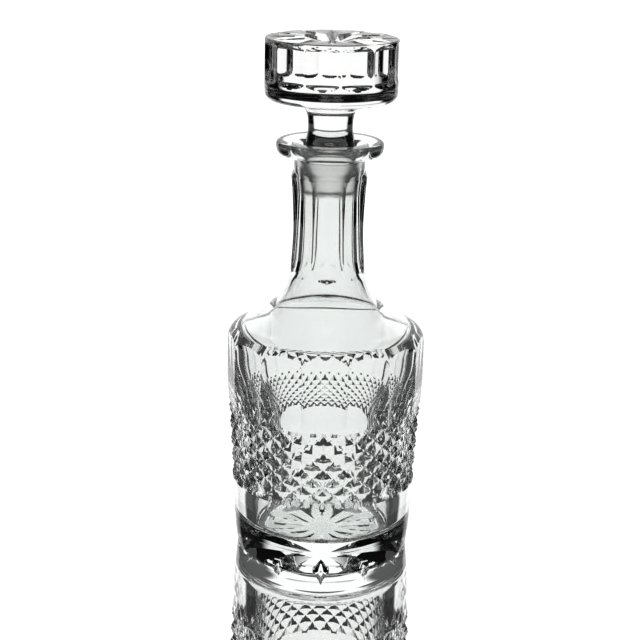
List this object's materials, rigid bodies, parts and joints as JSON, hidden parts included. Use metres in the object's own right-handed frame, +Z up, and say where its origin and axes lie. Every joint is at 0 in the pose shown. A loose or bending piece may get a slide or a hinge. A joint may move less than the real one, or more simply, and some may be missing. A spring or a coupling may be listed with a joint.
{
  "type": "wine decanter",
  "caption": "Cut-crystal wine decanter: cylindrical body with a diamond band, fluted neck, flanged lip and a ground-in disc-headed stopper that lifts out.",
  "frame": {"origin": "centre of the bottle's flat resting ring, on the table", "axes": "+Z up along the bottle's axis, -Y towards the viewer (the round shape has no front of its own)"},
  "size_m": [0.1062, 0.104, 0.28],
  "materials": {
    "crystal": "clear polished cut crystal, very faint grey-green in thick sections",
    "stopper_crystal": "clear polished cut crystal with a fine-ground matt plug"
  },
  "bodies": {
    "bottle": {"decanter_body": "crystal"},
    "stopper": {"stopper": "stopper_crystal"}
  },
  "joints": [
    {"name": "stopper_lift", "type": "slide", "parent": "bottle", "child": "stopper", "axis": [0, 0, 1], "range_m": [0, 0.045]}
  ]
}
